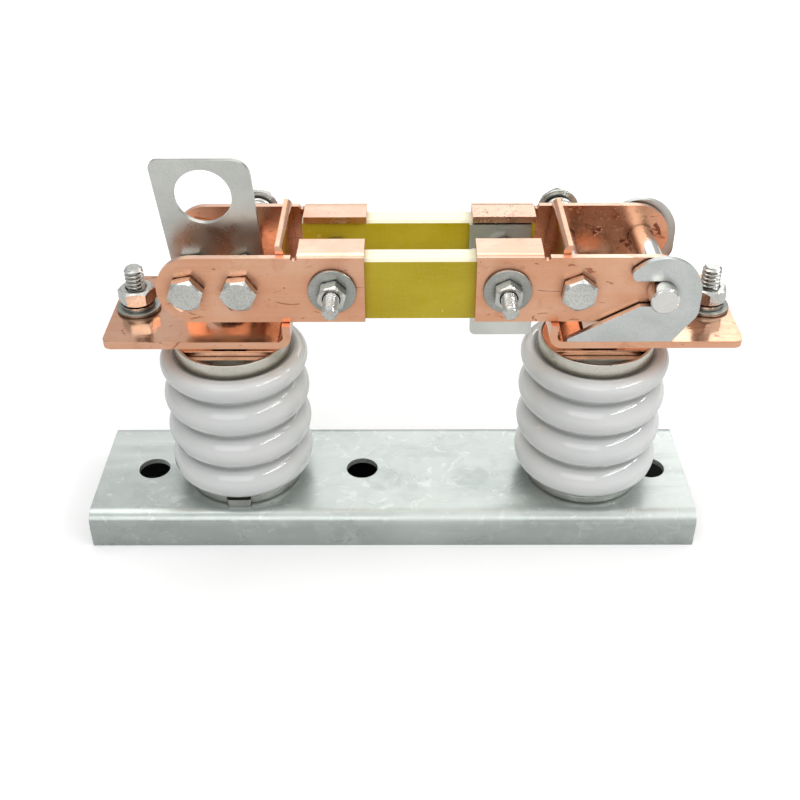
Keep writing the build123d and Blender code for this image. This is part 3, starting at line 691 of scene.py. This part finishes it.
def rod(radius, length, pitch, threaded):
    """Rod that runs down from height 0, threaded over its lower part and ending in a cone."""
    plain = length - threaded
    fades = plain > 0.01
    root = radius - root_share * pitch
    rows = int(threaded / pitch * rows_a_pitch)
    heights = [0.0, -plain] if fades else [0.0]
    heights += [-plain - threaded * (row + 1) / rows for row in range(rows)]
    points, faces = [], []
    for height in heights:
        depth = min(1.0, max(0.0, (-plain - height) / pitch)) if fades else 1.0
        for column in range(columns):
            turn_share = column / columns
            phase = (height / pitch - turn_share) % 1
            ridge = min(1.0, max(0.0, crest_width - abs(phase - 0.5) * flank_slope))
            distance = radius - (radius - root) * (1 - ridge) * depth
            distance = min(distance, root - point_start + (height + length) * point_slope)
            angle = 2 * math.pi * turn_share
            points.append((distance * math.cos(angle), distance * math.sin(angle), height))
    for row in range(len(heights) - 1):
        first, second = row * columns, (row + 1) * columns
        for column in range(columns):
            after = (column + 1) % columns
            faces.append([first + column, second + column, second + after, first + after])
    faces.append(list(range(columns)))
    faces.append([(len(heights) - 1) * columns + columns - 1 - column for column in range(columns)])
    return points, faces


print("a 12 mm M10 thread has", len(rod(5, 12, bolt_pitch, 12)[1]), "faces")

# %% [markdown]
# ## Terminal studs
#
# A stud rises from the outer end of each terminal, with a flat washer, a split spring washer and a nut.
# The stud is a threaded rod standing on its head, so its seat points down through the copper. The spring
# washer is one turn of square wire with its ends a little apart in height: that small step beside a dark
# slit is how one knows it from a plain washer.

# %% A split washer
def spring_washer(bore, radius, thickness, slit_degrees=10, step_height=0.35):
    points, faces = [], []
    steps = 64
    for index in range(steps + 1):
        share = index / steps
        angle = math.radians(slit_degrees / 2 + (360 - slit_degrees) * share)
        rise = step_height * share
        for distance, level in ((bore, 0), (radius, 0), (radius, thickness), (bore, thickness)):
            points.append((distance * math.cos(angle), distance * math.sin(angle), level + rise))
    for first in range(0, 4 * steps, 4):
        for corner in range(4):
            after = (corner + 1) % 4
            faces.append([first + corner, first + 4 + corner, first + 4 + after, first + after])
    faces.append([0, 1, 2, 3])
    faces.append([steps * 4 + corner for corner in (3, 2, 1, 0)])
    return points, faces


print("a split washer has", len(spring_washer(5.2, 8.9, 2.15)[1]), "faces")

# %% Studs, washers and nuts on the terminals
m10_radius, nut_height, stud_flats = 5, 8.4, 17
washer_bore, washer_radius = 5.2, 11.5
for side, nut_turn, slit_turn in (("left", 8, 200), ("right", 22, 120)):
    low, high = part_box(f"{side}_terminal_stud")
    stud_x = (low.x + high.x) / 2
    length = (high.z - low.z) / mm
    upright = seat((stud_x, 0, low.z), UP) @ Matrix.Rotation(math.pi, 4, "X")
    parts = [(*rod(m10_radius, length, stud_pitch, length), upright)]
    make_piece(f"{side}_threaded_stud", f"{side}_terminal_stud", "frame", hardware, parts)

    stand = seat((stud_x, 0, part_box(f"{side}_flat_washer")[0].z), UP)
    parts = [(*turned(washer_profile(washer_bore, washer_radius, 2), 80), stand)]
    make_piece(f"{side}_round_washer", f"{side}_flat_washer", "frame", washer_steel, parts)

    stand = seat((stud_x, 0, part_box(f"{side}_spring_washer")[0].z), UP)
    stand = stand @ Matrix.Rotation(math.radians(slit_turn), 4, "Z")
    parts = [(*spring_washer(washer_bore, 8.9, 2.15), stand)]
    make_piece(f"{side}_split_washer", f"{side}_spring_washer", "frame", hardware, parts)

    stand = seat((stud_x, 0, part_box(f"{side}_terminal_nut")[0].z), UP)
    parts = [(*hexagon(stud_flats, nut_height, m10_radius, nut_turn), stand)]
    make_piece(f"{side}_hex_nut", f"{side}_terminal_nut", "frame", hardware, parts)

# %% [markdown]
# ## Spacers and fixing bolts
#
# A tall hex spacer stands in each cap and lifts the terminal, and a bolt clamps the stack from above. They
# are the same two shapes again, a hexagon with a bore and a hexagon with a rod, so they cost two calls.

# %% Spacers and fixing bolts
m12_radius, fixing_head, fixing_flats = 6, 7.5, 19
spacer_flats, spacer_bore = 28, 6.2
for side, turn in (("left", 14), ("right", 3)):
    low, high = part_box(f"{side}_spacer")
    post_x = (low.x + high.x) / 2
    hollow = hexagon(spacer_flats, (high.z - low.z) / mm, spacer_bore)
    parts = [(*hollow, seat((post_x, 0, low.z), UP))]
    make_piece(f"{side}_hex_spacer", f"{side}_spacer", "frame", cap_metal, parts)

    low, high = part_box(f"{side}_fixing_bolt")
    under_head = high.z - fixing_head * mm
    stand = seat((post_x, 0, under_head), UP)
    shank = rod(m12_radius, (under_head - low.z) / mm, 1.75, 4)
    parts = [(*hexagon(fixing_flats, fixing_head, 0, turn), stand), (*shank, stand)]
    make_piece(f"{side}_clamp_bolt", f"{side}_fixing_bolt", "frame", hardware, parts)

# %% [markdown]
# ## Bolts through the blades
#
# Three bolts cross both blades with their heads in front. Behind the rear blade the two long ones carry a
# spring between washers, which presses the blades on the contact leg. Heads are turned a little
# differently from each other, as they would be after a fitter's spanner.

# %% Cross bolts and the pull plate's nuts
bolt_axes, bolt_flats = {}, 16
under_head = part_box("front_contact_copper")[0].y
for name, turn, threaded in (("short_bolt", 11, 20), ("long_bolt", 4, 30), ("hinge_bolt", 23, 30)):
    low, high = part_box(name)
    axis_x, axis_z = (low.x + high.x) / 2, (low.z + high.z) / 2
    bolt_axes[name] = (axis_x, axis_z)
    stand = seat((axis_x, under_head, axis_z), FRONT)
    head = hexagon(bolt_flats, (under_head - low.y) / mm, 0, turn)
    shank = rod(m10_radius, (high.y - under_head) / mm, bolt_pitch, threaded)
    make_piece(f"{name}_hex", name, "blade", hardware, [(*head, stand), (*shank, stand)])

plate_low, plate_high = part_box("pull_plate")
parts = []
for name, turn in (("short_bolt", 7), ("long_bolt", 19)):
    axis_x, axis_z = bolt_axes[name]
    for face_y, direction in ((plate_low.y, FRONT), (plate_high.y, BACK)):
        nut = hexagon(bolt_flats, nut_height, m10_radius, turn)
        parts.append((*nut, seat((axis_x, face_y, axis_z), direction)))
make_piece("pull_plate_hex_nuts", "pull_plate_nuts", "blade", hardware, parts)

# %% [markdown]
# ## Coil springs
#
# A compression spring has its first and last turns closed, so that it stands flat on its washers. The wire
# is a round tube that follows a helix whose pitch opens after the first turn and closes again before the
# last. Writing the height as a function of the turn keeps that change in one place.

# %% A coil
def coil_spring(coil_radius, wire_radius, length, turns=6.5):
    closed_rise = 2 * wire_radius * 1.02
    open_rise = (length - 2 * wire_radius - 2 * closed_rise) / (turns - 2)

    def height(turn):
        opened = min(max(turn - 1, 0), turns - 2)
        closed = min(turn, 1) + max(turn - (turns - 1), 0)
        return wire_radius + opened * open_rise + closed * closed_rise

    steps, sides = int(turns * 48), 14
    points, faces = [], []
    for step in range(steps + 1):
        turn = turns * step / steps
        angle = 2 * math.pi * turn
        outward = Vector((math.cos(angle), math.sin(angle), 0))
        centre = outward * coil_radius + Vector((0, 0, height(turn)))
        for side in range(sides):
            around = 2 * math.pi * side / sides
            offset = outward * math.cos(around) + Vector((0, 0, 1)) * math.sin(around)
            points.append(centre + offset * wire_radius)
    for first in range(0, steps * sides, sides):
        for side in range(sides):
            after = (side + 1) % sides
            faces.append([first + side, first + after, first + sides + after, first + sides + side])
    faces.append(list(range(sides - 1, -1, -1)))
    faces.append([steps * sides + side for side in range(sides)])
    return points, faces


print("a spring of 28 mm has", len(coil_spring(7.4, 1.3, 28)[1]), "faces")

# %% Springs, washers and nuts behind the rear blade
washer_thickness, coil_radius, wire_radius = 1.6, 7.4, 1.3
for name, turn in (("long_bolt", 9), ("hinge_bolt", 27)):
    axis_x, axis_z = bolt_axes[name]
    low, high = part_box(f"{name}_washers")
    spring_length = (high.y - low.y) / mm - 2 * washer_thickness
    levels = (low.y, low.y + washer_thickness * mm, high.y - washer_thickness * mm)
    first, spring_seat, last = [seat((axis_x, level, axis_z), BACK) for level in levels]
    washer = turned(washer_profile(washer_bore, washer_radius, washer_thickness, 0.3), 72)
    parts = [(*washer, first), (*washer, last)]
    make_piece(f"{name}_round_washers", f"{name}_washers", "blade", hardware, parts)

    parts = [(*coil_spring(coil_radius, wire_radius, spring_length), spring_seat)]
    make_piece(f"{name}_coil", f"{name}_spring", "blade", hardware, parts, crisp=60)

    stand = seat((axis_x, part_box(f"{name}_nut")[0].y, axis_z), BACK)
    parts = [(*hexagon(bolt_flats, nut_height, m10_radius, turn), stand)]
    make_piece(f"{name}_hex_nut", f"{name}_nut", "blade", hardware, parts)

# %% [markdown]
# ## Studs for the fuse strips
#
# On each blade two studs stand out of the coppers, with a large washer and a nut, and wait for the lugs of
# a fuse strip. Their heads are inside, against the yellow bar or the steel plate. The rear ones are the
# front ones seen in a mirror, so one loop makes both from the direction they point in.

# %% Fuse studs
fuse_places = (-0.0335, 0.053)
m8_radius, fuse_flats, fuse_head, fuse_nut = 4, 13, 5.3, 6.8
fuse_bore, fuse_washer_radius, fuse_washer = 4.2, 12, 2
for side, outward, inward, sign in (("front", FRONT, BACK, -1), ("rear", BACK, FRONT, 1)):
    outer, inner = (0, 1) if sign < 0 else (1, 0)
    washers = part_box(f"{side}_fuse_washers")
    copper_face = washers[inner].y
    middle_z = (washers[0].z + washers[1].z) / 2
    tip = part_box(f"{side}_fuse_studs")[outer].y
    head_faces_y = (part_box(f"{side}_insulating_bar")[inner].y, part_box(f"{side}_steel_plate")[inner].y)
    stud_parts, washer_parts, nut_parts = [], [], []
    for place, head_face, turn in zip(fuse_places, head_faces_y, (5, 17)):
        stand = seat((place, head_face, middle_z), inward)
        stud_parts.append((*hexagon(fuse_flats, fuse_head, 0, turn), stand))
        stud_parts.append((*rod(m8_radius, abs(tip - head_face) / mm, fuse_pitch, 24), stand))
        stand = seat((place, copper_face, middle_z), outward)
        profile = washer_profile(fuse_bore, fuse_washer_radius, fuse_washer, 0.5)
        washer_parts.append((*turned(profile, 80), stand))
        stand = seat((place, copper_face + sign * fuse_washer * mm, middle_z), outward)
        nut_parts.append((*hexagon(fuse_flats, fuse_nut, m8_radius, turn + 9), stand))
    make_piece(f"{side}_threaded_fuse_studs", f"{side}_fuse_studs", "blade", hardware, stud_parts)
    make_piece(f"{side}_round_fuse_washers", f"{side}_fuse_washers", "blade", washer_steel, washer_parts)
    make_piece(f"{side}_hex_fuse_nuts", f"{side}_fuse_nuts", "blade", hardware, nut_parts)

# %% [markdown]
# ## Floor, light and camera
#
# The switch was photographed on white, in soft light from above, with strip lights on its right that
# draw sharp lines on the glaze. A large floor catches a faint shadow. The camera sees the floor and the
# world as white. Metal sees a part of that white over a greyer room, and the darker sides of that room are
# what gives metal its form. The camera's place was found from the edges and holes of the base.

# %% Floor
floor_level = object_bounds()[0].z
reach = 3.0
floor_mesh = bpy.data.meshes.new("floor")
corners = [(-reach, -reach), (reach, -reach), (reach, reach), (-reach, reach)]
floor_mesh.from_pydata([(x, y, floor_level) for x, y in corners], [], [[0, 1, 2, 3]])
floor = bpy.data.objects.new("floor", floor_mesh)
bpy.context.scene.collection.objects.link(floor)
print("floor at", round(floor_level / mm, 2), "mm")

# %% [markdown]
# ## White paper with a painted shadow under the base
#
# Where the channel covers the floor no lamp reaches it, so the open holes look black. The paper is
# therefore painted dark under the base, as a painted shadow. Elsewhere it glows a little for the camera,
# and more so far away, where the lamps are weak. Its lower side is clear, so that the switch can also be
# looked at from below.

# %% Paper
paper = bpy.data.materials.new("white_paper")
paper.use_nodes = True
sheet = Wiring(paper.node_tree)
sheet.nodes.remove(sheet.nodes["Principled BSDF"])
seen = sheet.background_rays()
shadow_half_length, shadow_half_width = 0.166, 0.037
base_low, base_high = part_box("base_channel")
shadow_footprint = 1.0
for axis, start, end, half in (
    ("X", base_low.x, base_high.x, shadow_half_length),
    ("Y", base_low.y, base_high.y, shadow_half_width),
):
    off_centre = sheet.reckon("SUBTRACT", sheet.along(axis), (start + end) / 2)
    inside = sheet.reckon("LESS_THAN", sheet.reckon("ABSOLUTE", off_centre), half)
    shadow_footprint = sheet.reckon("MULTIPLY", inside, shadow_footprint)
# Painted shadow: the paper is near black where the base covers it, and it has no glow there.
tone = sheet.mix(shadow_footprint, sheet.mix(seen, grey(0.5), grey(0.85)), grey(0.02))
open_floor = sheet.reckon("MAXIMUM", sheet.reckon("SUBTRACT", seen, shadow_footprint), 0.0)
fade = sheet.between(sheet.away_from((0, 0, 0)), 0.3, 1.1, 0.16, 1.0)
print("dark under the base:", 2 * shadow_half_length / mm, "by", 2 * shadow_half_width / mm, "mm")

# %% Its shaders
matte = sheet.nodes.new("ShaderNodeBsdfDiffuse")
sheet.feed(tone, matte.inputs["Color"])
glow = sheet.nodes.new("ShaderNodeEmission")
sheet.feed(sheet.reckon("MULTIPLY", open_floor, fade), glow.inputs["Strength"])
both = sheet.nodes.new("ShaderNodeAddShader")
sheet.feed(matte.outputs["BSDF"], both.inputs[0])
sheet.feed(glow.outputs["Emission"], both.inputs[1])
clear = sheet.nodes.new("ShaderNodeBsdfTransparent")
side_seen = sheet.nodes.new("ShaderNodeNewGeometry")
one_sided = sheet.nodes.new("ShaderNodeMixShader")
sheet.feed(side_seen.outputs["Backfacing"], one_sided.inputs["Fac"])
sheet.feed(both.outputs["Shader"], one_sided.inputs[1])
sheet.feed(clear.outputs["BSDF"], one_sided.inputs[2])
sheet.feed(one_sided.outputs["Shader"], sheet.nodes["Material Output"].inputs["Surface"])
floor_mesh.materials.append(paper)
print("paper uses", len(sheet.nodes), "nodes")

# %% World
world = bpy.data.worlds.new("studio")
bpy.context.scene.world = world
world.use_nodes = True
room = Wiring(world.node_tree, "Generated")
ramp = room.nodes.new("ShaderNodeValToRGB")
room.feed(room.along("Z"), ramp.inputs["Fac"])
ramp.color_ramp.elements[0].color = grey(0.22)
ramp.color_ramp.elements[1].color = grey(1.0)
for height, light in ((0.35, 0.40), (0.65, 0.58)):
    ramp.color_ramp.elements.new(height).color = grey(light)
shown = room.mix(room.background_rays(), ramp.outputs["Color"], grey(1.0))
room.feed(shown, room.nodes["Background"].inputs["Color"])
print("world steps:", len(ramp.color_ramp.elements))


# %% Lights
def panel(name, place, target, width, height, power):
    """Rectangular soft light at a place, turned to a target."""
    light = bpy.data.lights.new(name, "AREA")
    light.shape = "RECTANGLE"
    light.size = width
    light.size_y = height
    light.energy = power
    holder = bpy.data.objects.new(name, light)
    holder.location = place
    holder.rotation_euler = (Vector(target) - Vector(place)).to_track_quat("-Z", "Y").to_euler()
    bpy.context.scene.collection.objects.link(holder)


panel("overhead", (-0.25, 0.30, 1.3), (0, 0, 0.08), 1.2, 0.8, 4.8)
panel("back_wall", (0.25, 1.7, 1.25), (0, 0, 0.08), 1.3, 0.8, 3.0)
panel("front_fill", (-0.3, -1.5, 1.0), (0, 0, 0.08), 1.6, 0.9, 7.0)
panel("right_strip", (0.85, -0.35, 0.80), (0.05, 0, 0.06), 1.3, 0.05, 3.6)
panel("right_strip_high", (0.90, -0.10, 1.05), (0.05, 0, 0.06), 1.3, 0.03, 1.6)
panel("right_strip_rear", (0.70, 0.55, 0.75), (0.05, 0, 0.06), 1.2, 0.04, 0.9)

# %% Camera
pitch, yaw, roll = math.radians(35.54), math.radians(-0.37), math.radians(0.33)
forward = Vector((math.sin(yaw) * math.cos(pitch), math.cos(yaw) * math.cos(pitch), -math.sin(pitch)))
level_right = Vector((math.cos(yaw), -math.sin(yaw), 0))
level_down = forward.cross(level_right)
right = level_right * math.cos(roll) + level_down * math.sin(roll)
down = level_down * math.cos(roll) - level_right * math.sin(roll)
camera_data = bpy.data.cameras.new("camera")
camera_data.sensor_width = 36
camera_data.lens = 49.5
camera = bpy.data.objects.new("camera", camera_data)
bpy.context.scene.collection.objects.link(camera)
stance = Matrix((right, -down, -forward)).transposed().to_4x4()
stance.translation = (0.00271, -0.50300, 0.41179)
camera.matrix_world = stance
bpy.context.scene.camera = camera
bpy.context.scene.view_settings.view_transform = "Standard"
print("camera at", [round(v, 3) for v in camera.location])

# %% [markdown]
# New pieces have to stay inside the box of the CAD model.
